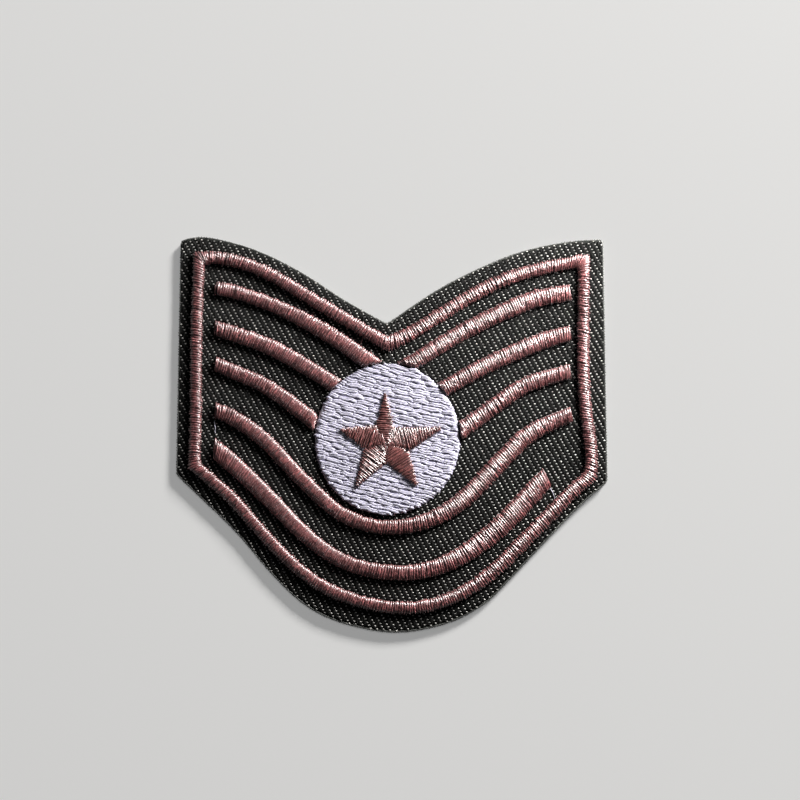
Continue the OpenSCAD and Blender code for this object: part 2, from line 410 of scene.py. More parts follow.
def make_mesh(name, points, faces):
    """A mesh from points in millimetres and arrays of faces, each array with one number of corners."""
    mesh = bpy.data.meshes.new(name)
    corners = np.concatenate([f.ravel() for f in faces]).astype(np.int32)
    totals = np.concatenate([np.full(len(f), f.shape[1]) for f in faces]).astype(np.int32)
    starts = np.r_[0, np.cumsum(totals)[:-1]].astype(np.int32)
    mesh.vertices.add(len(points))
    mesh.vertices.foreach_set("co", (np.asarray(points) * MM).astype(np.float32).ravel())
    mesh.loops.add(len(corners))
    mesh.loops.foreach_set("vertex_index", corners)
    mesh.polygons.add(len(totals))
    mesh.polygons.foreach_set("loop_start", starts)
    mesh.polygons.foreach_set("loop_total", totals)
    mesh.polygons.foreach_set("use_smooth", np.ones(len(totals), bool))
    mesh.update(calc_edges=True)
    return mesh


def triangles_in(mesh):
    """How many triangles the faces of a mesh make."""
    return len(mesh.loops) - 2 * len(mesh.polygons)


def volume_in(mesh):
    """Volume in cubic millimetres, as the sum over the faces of the cone from the origin. It is
    negative where the faces point inwards."""
    points = np.empty(len(mesh.vertices) * 3, np.float32)
    mesh.vertices.foreach_get("co", points)
    points = points.reshape(-1, 3).astype(float) / MM
    mesh.calc_loop_triangles()
    corner = np.empty(len(mesh.loop_triangles) * 3, np.int32)
    mesh.loop_triangles.foreach_get("vertices", corner)
    a, b, c = points[corner.reshape(-1, 3)].transpose(1, 0, 2)
    return float(np.sum(a * np.cross(b, c)) / 6)


def put_in_scene(name, data):
    """A scene object for a mesh, a lamp or a camera."""
    thing = bpy.data.objects.new(name, data)
    bpy.context.scene.collection.objects.link(thing)
    return thing


pieces = []


def place(mesh, material, replaces=()):
    """Puts a finished mesh into the scene as a piece that rides on the patch's one body."""
    piece = put_in_scene(mesh.name, mesh)
    mesh.materials.append(material)
    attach(piece, "root")
    if replaces:
        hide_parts(*replaces)
    pieces.append(piece)
    print(f"{mesh.name}: {triangles_in(mesh)} triangles, {volume_in(mesh):.1f} cubic mm")
    return piece


def make_piece(name, bundles, material, replaces=()):
    """Joins bundles of tubes into one piece. Each tube's square is one field of a square board, which
    has as many fields a side as the root of their number, rounded up."""
    points = np.concatenate([b.points for b in bundles])
    first = np.cumsum([0] + [len(b.points) for b in bundles])
    faces = [f + n for b, n in zip(bundles, first) for f in b.faces]
    counts = [b.squares[0].shape[0] for b in bundles]
    side = int(np.ceil(np.sqrt(sum(counts))))
    offset = np.cumsum([0] + counts)
    board = []
    for b, n in zip(bundles, offset):
        for square in b.squares:
            field = np.arange(n, n + square.shape[0])
            corner = np.stack([field % side, field // side], 1).reshape(-1, *[1] * (square.ndim - 2), 2)
            board.append(((square + corner) / side).reshape(-1, 2))
    mesh = make_mesh(name, points, faces)
    set_corners(mesh, "OFBake", np.concatenate(board))
    set_corners(mesh, "thread", np.concatenate([t.reshape(-1, 2) for b in bundles for t in b.threads]))
    shade = mesh.attributes.new("shade", "FLOAT", "POINT")
    shade.data.foreach_set("value", np.concatenate([b.shade for b in bundles]).astype(np.float32))
    return place(mesh, material, replaces)


# %% [markdown]
# The materials come next, because each piece is made with its own. Embroidery thread is two plies of
# bright rayon, twisted together. Seen close up it shows slanting grooves and hair-fine fibres, and
# light runs across it in a band. A glossy colour alone looks like plastic. So one shader group works
# out the twist from the thread's own map, another varies the colour from stitch to stitch and slowly
# over the patch and carries the painted shade of the low passes and the cores, and a third takes the
# gloss away in the grooves and on the strands that lie low. The grooves between the plies get a
# darker colour, a painted shade. All threads share the three groups, each with its own values. The
# matt white thread has no clear coat.

# %% Helpers for nodes
def new_group(name, inputs, outputs):
    """An empty shader node group with named inputs (name, kind, value) and outputs (name, kind)."""
    group = bpy.data.node_groups.new(name, "ShaderNodeTree")
    for label, kind, value in inputs:
        socket = group.interface.new_socket(label, in_out="INPUT", socket_type="NodeSocket" + kind)
        if value is not None:
            socket.default_value = value
    for label, kind in outputs:
        group.interface.new_socket(label, in_out="OUTPUT", socket_type="NodeSocket" + kind)
    return group, group.nodes.new("NodeGroupInput"), group.nodes.new("NodeGroupOutput")


def feed(tree, socket, value):
    """Sets an input to a value, or links it where the value is another node's output."""
    if isinstance(value, bpy.types.NodeSocket):
        tree.links.new(value, socket)
    else:
        socket.default_value = value


def math_node(tree, operation, *values):
    """A math node. Each value is a number or another node's output."""
    node = tree.nodes.new("ShaderNodeMath")
    node.operation = operation
    for socket, value in zip(node.inputs, values):
        feed(tree, socket, value)
    return node.outputs[0]


def patch_place(tree):
    """The place on the patch, in metres."""
    return tree.nodes.new("ShaderNodeTexCoord").outputs["Object"]


def noise_node(tree, vector, scale, detail):
    """Smooth noise from 0 to 1."""
    node = tree.nodes.new("ShaderNodeTexNoise")
    for label, value in {"Vector": vector, "Scale": scale, "Detail": detail}.items():
        feed(tree, node.inputs[label], value)
    return node.outputs["Fac"]


# %% Twist of a thread
fibre_rate = 0.8
fibres_round = 14.0


def strand_twist_group():
    """Height over a twisted thread: a ridge for each ply, which winds once round the thread in each
    lay length, and fine fibres along the plies."""
    group, given, out = new_group(
        "strand_twist",
        [
            ("Thread", "Vector", None),
            ("Plies", "Float", 2.0),
            ("Lay Length", "Float", 1.2),
            ("Fibre Share", "Float", 0.35),
        ],
        [("Height", "Float"), ("Groove", "Float")],
    )
    split = group.nodes.new("ShaderNodeSeparateXYZ")
    group.links.new(given.outputs["Thread"], split.inputs[0])
    wound = math_node(group, "DIVIDE", split.outputs["X"], given.outputs["Lay Length"])
    wound = math_node(group, "ADD", wound, split.outputs["Y"])
    ply = math_node(group, "PINGPONG", math_node(group, "MULTIPLY", wound, given.outputs["Plies"]), 0.5)
    ply = math_node(group, "MULTIPLY", ply, 2.0)
    ridge = math_node(group, "SINE", math_node(group, "MULTIPLY", ply, np.pi / 2))
    fine = group.nodes.new("ShaderNodeCombineXYZ")
    group.links.new(math_node(group, "MULTIPLY", split.outputs["X"], fibre_rate), fine.inputs["X"])
    group.links.new(math_node(group, "MULTIPLY", wound, fibres_round), fine.inputs["Y"])
    fibre = noise_node(group, fine.outputs[0], 1.0, detail=3.0)
    rest = math_node(group, "SUBTRACT", 1.0, given.outputs["Fibre Share"])
    height = math_node(
        group,
        "ADD",
        math_node(group, "MULTIPLY", ridge, rest),
        math_node(group, "MULTIPLY", fibre, given.outputs["Fibre Share"]),
    )
    group.links.new(height, out.inputs["Height"])
    group.links.new(math_node(group, "SUBTRACT", 1.0, ridge), out.inputs["Groove"])
    return group


# %% Drift of the dye
def shade_and_dye_drift_group():
    """Colour of a yarn: the colour times the shade, which holds random tone and, on the threads,
    painted shade, and times a slow noise over the patch, the drift of the dye.
    """
    group, given, out = new_group(
        "shade_and_dye_drift",
        [
            ("Color", "Color", (0.5, 0.5, 0.5, 1)),
            ("Shade", "Float", 1.0),
            ("Patch Scale", "Float", 120.0),
            ("Amount", "Float", 0.2),
        ],
        [("Color", "Color"), ("Drift", "Float")],
    )
    slow = noise_node(group, patch_place(group), given.outputs["Patch Scale"], detail=3.0)
    drift = math_node(group, "MULTIPLY", math_node(group, "SUBTRACT", slow, 0.5), given.outputs["Amount"])
    drift = math_node(group, "ADD", math_node(group, "MULTIPLY", drift, 2.0), 1.0)
    factor = math_node(group, "MULTIPLY", drift, given.outputs["Shade"])
    tint = group.nodes.new("ShaderNodeVectorMath")
    tint.operation = "SCALE"
    group.links.new(given.outputs["Color"], tint.inputs[0])
    group.links.new(factor, tint.inputs["Scale"])
    group.links.new(tint.outputs[0], out.inputs["Color"])
    group.links.new(drift, out.inputs["Drift"])
    return group


# %% Gloss of a thread
groove_rough = 0.15
lit_gain = 1.5
lit_start = -0.6


def strand_gloss_group():
    """Gloss of a thread: rougher in the grooves, and a clear coat that fades out on the shaded strands,
    which lie lower and catch no light."""
    group, given, out = new_group(
        "strand_gloss",
        [
            ("Groove", "Float", 0.0),
            ("Shade", "Float", 1.0),
            ("Roughness", "Float", 0.4),
            ("Coat", "Float", 0.0),
        ],
        [("Roughness", "Float"), ("Coat", "Float")],
    )
    low, plain = given.outputs["Groove"], given.outputs["Roughness"]
    rough = math_node(group, "MULTIPLY_ADD", low, groove_rough, plain)
    group.links.new(rough, out.inputs["Roughness"])
    lit = math_node(group, "MULTIPLY_ADD", given.outputs["Shade"], lit_gain, lit_start)
    lit = math_node(group, "MINIMUM", math_node(group, "MAXIMUM", lit, 0.0), 1.0)
    group.links.new(math_node(group, "MULTIPLY", lit, given.outputs["Coat"]), out.inputs["Coat"])
    return group


strand_twist = strand_twist_group()
shade_and_dye_drift = shade_and_dye_drift_group()
strand_gloss = strand_gloss_group()
print("shader groups:", [g.name for g in bpy.data.node_groups])

# %% Helpers for materials
def new_material(name):
    """An empty node material with its Principled shader in place."""
    material = bpy.data.materials.new(name)
    material.use_nodes = True
    tree = material.node_tree
    tree.nodes.clear()
    out = tree.nodes.new("ShaderNodeOutputMaterial")
    shader = tree.nodes.new("ShaderNodeBsdfPrincipled")
    tree.links.new(shader.outputs[0], out.inputs["Surface"])
    return material, tree, shader


def add_group(tree, group, **values):
    """One use of a shader group, with its own values."""
    node = tree.nodes.new("ShaderNodeGroup")
    node.node_tree = group
    for label, value in values.items():
        feed(tree, node.inputs[label.replace("_", " ")], value)
    return node


def strand_shade(tree):
    """The brightness that a piece holds for each of its points: random tone, and painted shade on the
    low passes and the cores.
    """
    node = tree.nodes.new("ShaderNodeAttribute")
    node.attribute_name = "shade"
    return node.outputs["Fac"]


def thread_place(tree):
    """The distance along the thread in millimetres and the share of a turn round it."""
    node = tree.nodes.new("ShaderNodeUVMap")
    node.uv_map = "thread"
    return node.outputs[0]


def add_relief(tree, shader, height, strength, depth):
    """Bumps the surface by a height, which is worth the depth in millimetres."""
    bump = tree.nodes.new("ShaderNodeBump")
    bump.inputs["Strength"].default_value = strength
    bump.inputs["Distance"].default_value = depth * MM
    tree.links.new(height, bump.inputs["Height"])
    tree.links.new(bump.outputs[0], shader.inputs["Normal"])


# %% Thread material
rayon_finish = {
    "Anisotropic": 0.6,
    "Anisotropic Rotation": 0.25,
    "IOR": 1.85,
    "Coat IOR": 2.3,
    "Coat Roughness": 0.36,
    "Sheen Roughness": 0.35,
    "Sheen Tint": (1.0, 0.9, 0.9, 1),
}


def thread_material(name, color, groove_shade_color, roughness, gloss, coat, lay, depth, drift, sheen):
    """Twisted thread: painted shade darkens its colour in the grooves between the plies, and its gloss is
    stretched across the fibres, as on a bundle of fine glass rods."""
    material, tree, shader = new_material(name)
    shade = strand_shade(tree)
    twist = add_group(tree, strand_twist, Thread=thread_place(tree), Lay_Length=lay)
    # The shade attribute varies the colour at random, and darkens it as painted shade on the low passes and
    # the cores. The grooves between the plies get the darker groove colour, a painted shade, mixed in by
    # the twist's groove mask.
    dye = add_group(tree, shade_and_dye_drift, Color=(*color, 1), Shade=shade, Amount=drift)
    groove_shade = add_group(tree, shade_and_dye_drift, Color=(*groove_shade_color, 1), Shade=shade, Amount=drift)
    mix = tree.nodes.new("ShaderNodeMix")
    mix.data_type = "RGBA"
    tree.links.new(twist.outputs["Groove"], mix.inputs["Factor"])
    tree.links.new(dye.outputs["Color"], mix.inputs[6])
    tree.links.new(groove_shade.outputs["Color"], mix.inputs[7])
    tree.links.new(mix.outputs[2], shader.inputs["Base Color"])
    add_relief(tree, shader, twist.outputs["Height"], strength=1.0, depth=depth)
    low = twist.outputs["Groove"]
    shine = add_group(tree, strand_gloss, Groove=low, Shade=shade, Roughness=roughness, Coat=coat)
    tree.links.new(shine.outputs["Roughness"], shader.inputs["Roughness"])
    if coat > 0:
        tree.links.new(shine.outputs["Coat"], shader.inputs["Coat Weight"])
    along = tree.nodes.new("ShaderNodeTangent")
    along.direction_type = "UV_MAP"
    along.uv_map = "thread"
    tree.links.new(along.outputs[0], shader.inputs["Tangent"])
    for label, value in rayon_finish.items():
        shader.inputs[label].default_value = value
    shader.inputs["Specular IOR Level"].default_value = gloss
    shader.inputs["Sheen Weight"].default_value = sheen
    return material


# %% The three threads
# Each groove colour is painted shade in the grooves between the plies.
rose_rayon = thread_material(
    "rose_rayon",
    color=(0.255, 0.083, 0.082),
    groove_shade_color=(0.105, 0.010, 0.012),
    roughness=0.38,
    gloss=0.5,
    coat=0.85,
    lay=1.3,
    depth=0.025,
    drift=0.14,
    sheen=0.4,
)
white_rayon = thread_material(
    "white_rayon",
    color=(0.525, 0.51, 0.593),
    groove_shade_color=(0.36, 0.34, 0.475),
    roughness=0.5,
    gloss=0.35,
    coat=0.0,
    lay=1.6,
    depth=0.06,
    drift=0.05,
    sheen=0.0,
)
star_rayon = thread_material(
    "star_rayon",
    color=(0.215, 0.064, 0.058),
    groove_shade_color=(0.08, 0.009, 0.009),
    roughness=0.38,
    gloss=0.5,
    coat=0.9,
    lay=1.3,
    depth=0.025,
    drift=0.25,
    sheen=0.3,
)
print("thread looks:", [look.name for look in (rose_rayon, white_rayon, star_rayon)])

# %% [markdown]
# The ground is a heavy steep twill. Its warp yarns run straight up the patch, float over three picks
# of the weft and dive under the fourth. Each next yarn dives one pick lower, which draws the slanting
# wales. Where the warp dives, the paler weft shows as a small round dot. A bump texture could fake
# this from the front, but the dots catch the light one by one and the cut edge shows them from the
# side, so both yarns are real: a long low pillow for a float and a short one for a dot. They lie only
# where no embroidery covers them, on a closed sheet that is the body of the cloth.

# %% Sizes of the twill
warp_gap = 0.2845
pick_gap = 0.491
picks_in_repeat = 4
weft_slope = -0.095
twill_z = 1.06
float_w = 0.27
float_t = 0.15
float_gap = 0.3
dot_w = 0.25
dot_l = 0.31
dot_t = 1.1 * float_t
warp_rise = 0.06
weft_rise = 0.075
print("a wale every", round(warp_gap * picks_in_repeat, 2), "mm across the patch")

# %% Waves of the cloth, and the way to its edge
cloth_waves = [[0.025, 0.23, 0.31, 0.0], [0.02, -0.17, 0.41, 1.3]]


def cloth_wave(xy):
    """Slow unevenness of the cloth: two crossed waves of a few hundredths of a millimetre. A wave is
    its height times the sine of x times a rate, plus y times a rate, plus a start."""
    x, y = xy[..., 0], xy[..., 1]
    return sum(size * np.sin(by_x * x + by_y * y + start) for size, by_x, by_y, start in cloth_waves)


def inside_by(xy):
    """How far inside the cut edge each point lies. The outline is seen whole from the disc's middle, so
    its distance from there is a function of the angle. What is left of that distance beyond the point is
    multiplied by the cosine between the line of sight and the edge's normal."""
    out = outline - disc_middle
    angle = np.arctan2(out[:, 1], out[:, 0])
    facing = -(outline_inward * unit(out)).sum(1)
    off = xy - disc_middle
    distance = np.linalg.norm(off, axis=-1)
    seen_at = np.arctan2(off[..., 1], off[..., 0])
    edge = np.interp(seen_at, angle, np.linalg.norm(out, axis=1), period=2 * np.pi)
    return (edge - distance) * np.interp(seen_at, angle, facing, period=2 * np.pi)


# %% Rungs of every stripe, as sewn
rung_steps = 32
rung_checks = 81
least_rung = 0.4


def disc_radius(xy, grow=0.0):
    """Distance from the disc's middle as a share of the disc's radius in that direction."""
    off = (xy - disc_middle) / (np.array([disc_w, disc_l]) / 2 + grow)
    return np.linalg.norm(off, axis=-1)


def dense_rungs(table, width):
    """Rungs close together along a stripe, with their length in millimetres."""
    rows = spline(table, rung_steps)
    rows[:, 2] *= width
    return rows


def rung_points(rows, share):
    """The point of each rung at a share of its half length, from minus one to one."""
    angle = np.radians(rows[:, 3])
    along = np.stack([np.cos(angle), np.sin(angle)], 1)
    return rows[:, :2] + along * (rows[:, 2] / 2 * share)[:, None]


def cut_at_disc(rows):
    """Shortens the rungs that run in under the disc to the part that stays outside its rim."""
    shares = np.linspace(-1, 1, rung_checks)
    spots = np.stack([rung_points(rows, s) for s in shares], 1)
    out = disc_radius(spots, 2 * thread_gap) > 1
    first = np.where(out.any(1), shares[np.argmax(out, axis=1)], 0)
    last = np.where(out.any(1), shares[len(shares) - 1 - np.argmax(out[:, ::-1], axis=1)], 0)
    middle = rung_points(rows, (first + last) / 2)
    cut = np.column_stack([middle, rows[:, 2] * (last - first) / 2, rows[:, 3]])
    return cut[cut[:, 2] > least_rung]


stripe_rungs = {name: cut_at_disc(dense_rungs(t, bar_w)) for name, t in bar_rungs.items()}
stripe_rungs |= {name: dense_rungs(t, bar_w) for name, t in sweep_bar_rungs.items()}
stripe_rungs["border_line"] = np.vstack([dense_rungs(side, border_w) for side in border_sides])
print("rungs:", {name: len(rows) for name, rows in stripe_rungs.items()})

# %% Where the cloth is bare
rung_skip = 4
beside_reach = 0.7
edge_margin = 0.24


def covering_rungs():
    """Every fourth rung of each stripe, and how far the stripe goes on at its two sides: about halfway
    to the next of them or further, and nothing past a blunt end."""
    found = []
    for name, rungs in stripe_rungs.items():
        rows = np.vstack([rungs[:-1:rung_skip], rungs[-1:]])
        sides = np.tile([-beside_reach, beside_reach], (len(rows), 1))
        if name != "border_line":
            for end, inner in ((0, 1), (-1, -2)):
                angle = np.radians(rows[end, 3])
                inward = (rows[inner, :2] - rows[end, :2]) @ np.array([-np.sin(angle), np.cos(angle)])
                sides[end, 0 if inward > 0 else 1] = 0
        found.append(np.column_stack([rows, sides]))
    return np.vstack(found)


def under_stitches(xy, margin):
    """True for the points that a stripe or the disc covers by more than the margin: along the nearest
    rung they lie less than half its length from its middle, and beside it no further than the stripe
    goes on."""
    rows = covering_rungs()
    far = (xy**2).sum(1)[:, None] - 2 * xy @ rows[:, :2].T + (rows[:, :2] ** 2).sum(1)
    row = rows[np.argmin(far, axis=1)]
    off = xy - row[:, :2]
    angle = np.radians(row[:, 3])
    along = np.abs(off[:, 0] * np.cos(angle) + off[:, 1] * np.sin(angle))
    beside = off[:, 1] * np.cos(angle) - off[:, 0] * np.sin(angle)
    on_stripe = along < row[:, 2] / 2 - margin
    on_stripe &= (beside > row[:, 4] + margin) & (beside < row[:, 5] - margin)
    return on_stripe | (disc_radius(xy, -margin) < 1)


def open_cloth(xy, margin):
    """True for the points on bare cloth, inside the cut edge."""
    return (inside_by(xy) > edge_margin) & ~under_stitches(xy, margin)


# %% Places of the weft dots and the warp floats
yarns_each_way = 136
repeats_each_way = 40
dot_margin = 0.12
float_margin = 0.2
float_checks = 9
least_float_half = 0.15


def twill_places():
    """Middle of each weft dot: one on each warp yarn in each repeat, a pick lower on each next yarn,
    on picks that slope a little."""
    i = np.arange(-yarns_each_way, yarns_each_way + 1)[:, None]
    j = np.arange(-repeats_each_way, repeats_each_way + 1)[None, :]
    x = i * warp_gap + 0 * j
    y = (j * picks_in_repeat - i % picks_in_repeat) * pick_gap + weft_slope * x
    return np.stack([x, y], -1).reshape(-1, 2)


def bare_floats(middles, half_length):
    """Middle and half length of the part of each float that lies on bare cloth."""
    shares = np.linspace(-1, 1, float_checks)
    spots = middles[:, None] + np.stack([0 * shares, half_length * shares], 1)
    bare = open_cloth(spots.reshape(-1, 2), float_margin).reshape(-1, len(shares))
    first = shares[np.argmax(bare, axis=1)]
    last = shares[len(shares) - 1 - np.argmax(bare[:, ::-1], axis=1)]
    middle = middles + np.stack([0 * first, half_length * (first + last) / 2], 1)
    half = half_length * (last - first) / 2
    kept = bare.any(1) & (half > least_float_half)
    return middle[kept], half[kept]


dots = twill_places()
float_half = (picks_in_repeat * pick_gap - float_gap) / 2
floats, float_halves = bare_floats(dots + [0, picks_in_repeat * pick_gap / 2], float_half)
dots = dots[open_cloth(dots, dot_margin)]
print("weft dots:", len(dots), "warp floats:", len(floats))

# %% Short yarns
pillow_stray = 0.012
pillow_z_stray = 0.008
pillow_girth_stray = 0.06
pillow_shades = (0.4, 1.8)


def pillows(middles, direction, half_length, width, thick, z, seed, tone):
    """Short yarns that bulge in their middle: the line runs level over its middle half and dips at
    both ends, where the section shrinks too."""
    draw = np.random.default_rng(seed)
    share = np.array([-1.0, -0.58, 0.58, 1.0])
    dip = np.array([0.62, 0.0, 0.0, 0.62])
    size = np.array([0.45, 1.0, 1.0, 0.45])
    n = len(middles)
    moved = middles + draw.normal(0, pillow_stray, (n, 2))
    plan = moved[:, None] + direction * (np.reshape(half_length, (-1, 1)) * share)[..., None]
    level = z + cloth_wave(moved)[:, None] - thick * dip + draw.normal(0, pillow_z_stray, (n, 1))
    path = np.concatenate([plan, level[..., None]], -1)
    girth = 1 + draw.normal(0, pillow_girth_stray, (n, 1))
    shade = np.clip(1 + draw.normal(0, tone, n), *pillow_shades)
    return tubes(path, across_of(path), width * size * girth, thick * size * girth, sides=5, shade=shade)


# %% Yarn material
yarn_lay = 0.9
yarn_fibres = 0.6
yarn_groove_rough = 0.12


def yarn_material(name, color, roughness, gloss, drift):
    """Matt spun yarn of the twill: its dye varies from yarn to yarn, and short fibres break it up."""
    material, tree, shader = new_material(name)
    at = thread_place(tree)
    twist = add_group(tree, strand_twist, Thread=at, Lay_Length=yarn_lay, Fibre_Share=yarn_fibres)
    dye = add_group(tree, shade_and_dye_drift, Color=(*color, 1), Shade=strand_shade(tree), Amount=drift)
    tree.links.new(dye.outputs["Color"], shader.inputs["Base Color"])
    add_relief(tree, shader, twist.outputs["Height"], strength=0.5, depth=0.02)
    rough = math_node(tree, "MULTIPLY_ADD", twist.outputs["Groove"], yarn_groove_rough, roughness)
    tree.links.new(rough, shader.inputs["Roughness"])
    shader.inputs["Specular IOR Level"].default_value = gloss
    return material


warp_yarn = yarn_material("warp_yarn", (0.0036, 0.0038, 0.0034), roughness=0.6, gloss=0.14, drift=0.25)
weft_yarn = yarn_material("weft_yarn", (0.31, 0.302, 0.285), roughness=0.45, gloss=0.3, drift=0.25)

# %% Floats and dots
up_patch = np.array([0.0, 1.0])
along_pick = unit(np.array([1.0, weft_slope]))
warp_z, weft_z = twill_z + warp_rise, twill_z + weft_rise
warp_bundle = pillows(floats, up_patch, float_halves, float_w, float_t, warp_z, seed=21, tone=0.3)
weft_bundle = pillows(dots, along_pick, dot_l / 2, dot_w, dot_t, weft_z, seed=22, tone=0.45)
twill_warp = make_piece("twill_warp_floats", [warp_bundle], warp_yarn)
twill_weft = make_piece("twill_weft_dots", [weft_bundle], weft_yarn)

# %% [markdown]
# The sheet under the yarns is the cloth with its stiffening. It is one closed surface: a profile that
# starts in the middle of the back, runs out to the edge, up the cut and in again over the face, and
# is carried round the outline. An extruded outline would do, but its faces would be long slivers, and
# it could carry neither the soft edge nor the slow waves.

# %% Sheet material
sheet_color = (0.012, 0.0135, 0.011, 1)
relief_shade_gain = 0.35
sheet_least_shade = 0.75
sheet_rough = 0.6
sheet_rough_gain = 0.25
weave_gap = 0.55
weave_share = 0.35
grain_scale = 900.0


def sheet_material():
    """Stiffened back of the twill: a close plain weave, pressed flat, with a trace of size on it."""
    material, tree, shader = new_material("stiffened_twill")
    at = patch_place(tree)
    split = tree.nodes.new("ShaderNodeSeparateXYZ")
    tree.links.new(at, split.inputs[0])
    waves = []
    for axis in ("X", "Y"):
        turn = math_node(tree, "MULTIPLY", split.outputs[axis], 2 * np.pi / (weave_gap * MM))
        waves.append(math_node(tree, "SINE", turn))
    weave = math_node(tree, "MULTIPLY", *waves)
    grain = noise_node(tree, at, grain_scale, detail=4.0)
    height = math_node(tree, "MULTIPLY_ADD", weave, weave_share, grain)
    # Partly painted shade: the colour follows the relief and is darker in the hollows of the weave. The
    # random grain varies it too.
    shade = math_node(tree, "MULTIPLY_ADD", height, relief_shade_gain, sheet_least_shade)
    dye = add_group(tree, shade_and_dye_drift, Color=sheet_color, Shade=shade, Patch_Scale=70.0, Amount=0.3)
    tree.links.new(dye.outputs["Color"], shader.inputs["Base Color"])
    add_relief(tree, shader, height, strength=0.6, depth=0.05)
    rough = math_node(tree, "MULTIPLY_ADD", grain, sheet_rough_gain, sheet_rough)
    tree.links.new(rough, shader.inputs["Roughness"])
    shader.inputs["Specular IOR Level"].default_value = 0.25
    return material


# %% Sheet
def closed_by_poles(rings):
    """Points and faces of a surface of rings, closed with a fan of triangles at each end."""
    rows, count = rings.shape[:2]
    row, column = grid_corners(rows - 1, count)
    walls = row * count + column % count
    poles = np.stack([rings[0].mean(0), rings[-1].mean(0)])
    around = np.arange(count)
    ahead = (around + 1) % count
    start = np.stack([ahead, around, np.full(count, rows * count)], 1)
    last = (rows - 1) * count
    stop = np.stack([last + around, last + ahead, np.full(count, rows * count + 1)], 1)
    return np.vstack([rings.reshape(-1, 3), poles]), [walls, np.vstack([start, stop])]


def sheet_rings():
    """Share of the way from the middle to the edge, inset from the edge, and height, ring by ring:
    out over the back, up the cut, which the heat has rounded, and back in over the face."""
    shares = [0.03, 0.12, 0.25, 0.4, 0.55, 0.7, 0.82, 0.92]
    profile = [(s, 0.0, 0.0) for s in shares]
    profile += [(1, 0.30, 0.0), (1, 0.10, 0.03), (1, 0.02, 0.14), (1, 0.0, 0.4), (1, 0.0, 0.75)]
    profile += [(1, 0.06, 0.93), (1, 0.2, 1.03), (1, 0.4, twill_z)]
    profile += [(s, 0.0, twill_z) for s in shares[::-1]]
    share, inset, z = np.array(profile).T[..., None, None]
    plan = disc_middle + (outline - disc_middle) * share + outline_inward * inset
    wave = cloth_wave(plan) * (z[..., 0] == twill_z)
    return np.concatenate([plan, (z[..., 0] + wave)[..., None]], -1)


points, faces = closed_by_poles(sheet_rings()[:, ::-1])
sheet_mesh = make_mesh("twill_sheet", points, faces)
print("sheet volume, cubic mm:", round(volume_in(sheet_mesh)))
twill_sheet = place(sheet_mesh, sheet_material(), ["ground_cloth"])

# %% [markdown]
# The patch was cut with heat, which melts the yarn ends into a thin hard bead. It is what catches the
# light along the top edge. It is a tube round the outline whose thickness wanders a little. The ends
# of the yarns still stick out past the outline by up to a tenth of a millimetre, which makes it look
# dotted under a lens. Where a yarn crosses the outline, a short pillow is laid across the bead. The
# crossings come from counting the yarns along the outline: the count changes where one is crossed.

# %% Edge material
edge_color = (0.075, 0.078, 0.073, 1)
edge_contrast = 1.2
edge_least_shade = 0.4
edge_rough = 0.3
edge_rough_gain = 0.3
lump_scale = 1500.0


def edge_material():
    """Melted yarn: darker and glossier than the cloth, with small lumps."""
    material, tree, shader = new_material("melted_edge")
    lumps = noise_node(tree, patch_place(tree), lump_scale, detail=3.0)
    shade = math_node(tree, "MULTIPLY_ADD", lumps, edge_contrast, edge_least_shade)
    dye = add_group(tree, shade_and_dye_drift, Color=edge_color, Shade=shade, Amount=0.3)
    tree.links.new(dye.outputs["Color"], shader.inputs["Base Color"])
    add_relief(tree, shader, lumps, strength=0.8, depth=0.06)
    rough = math_node(tree, "MULTIPLY_ADD", lumps, edge_rough_gain, edge_rough)
    tree.links.new(rough, shader.inputs["Roughness"])
    return material


# %% Melted bead
bead_sides = 8
bead_r = 0.10
bead_inset = 0.12
bead_z = 1.0
bead_waves = [[0.15, 47, 0], [0.15, 113, 1], [0.2, 271, 2]]


def edge_bead():
    """A closed tube on the outline: the ring's radius is the bead's, times one plus three waves that
    don't repeat together. A wave has a size, a number of times round the patch and a start."""
    count, sides = len(outline), bead_sides
    round_it = 2 * np.pi * np.arange(count) / count
    wander = sum(size * np.sin(times * round_it + start) for size, times, start in bead_waves)
    turn = 2 * np.pi * np.arange(sides) / sides
    radius = bead_r * (1 + wander)
    middle = outline + outline_inward * bead_inset
    out = -outline_inward[:, None] * (radius[:, None, None] * np.cos(turn)[:, None])
    z = bead_z + cloth_wave(middle)[:, None] / 2 + radius[:, None] * np.sin(turn)
    rings = np.concatenate([middle[:, None] + out, z[..., None]], -1)
    row, column = grid_corners(count, sides)
    return rings.reshape(-1, 3), [row % count * sides + column % sides]


# %% Ends of the yarns
crossing_step = 0.1
stub_slant = 0.35
stub_halves = (0.14, 0.26)
stub_out = 0.10
stub_w = 0.2
stub_t = 0.17


def crossings(count_along):
    """The outline points at which a count of yarns changes, and the way out of the cloth there."""
    loop = evenly(outline, crossing_step)
    ahead = unit(np.roll(loop, -1, axis=0) - np.roll(loop, 1, axis=0))
    cell = np.floor(count_along(loop))
    crossed = cell != np.roll(cell, -1)
    return loop[crossed], np.stack([-ahead[:, 1], ahead[:, 0]], 1)[crossed]


def yarn_ends():
    """Short pillows along the yarns, across the cut: of the warp where the cut faces up or down, and of
    the weft where it faces sideways."""
    draw = np.random.default_rng(23)
    bundles = []
    for direction, count_along in [
        (up_patch, lambda p: p[:, 0] / warp_gap),
        (along_pick, lambda p: (p[:, 1] - weft_slope * p[:, 0]) / pick_gap),
    ]:
        at, out = crossings(count_along)
        slant = out @ direction
        steep = np.abs(slant) > stub_slant
        at, slant = at[steep], slant[steep]
        half = draw.uniform(*stub_halves, len(at))
        tip = draw.uniform(0.0, stub_out, len(at))
        middle = at + direction * (np.sign(slant) * (tip - half))[:, None]
        bundles.append(pillows(middle, direction, half, stub_w, stub_t, bead_z, seed=24, tone=0.5))
    return bundles


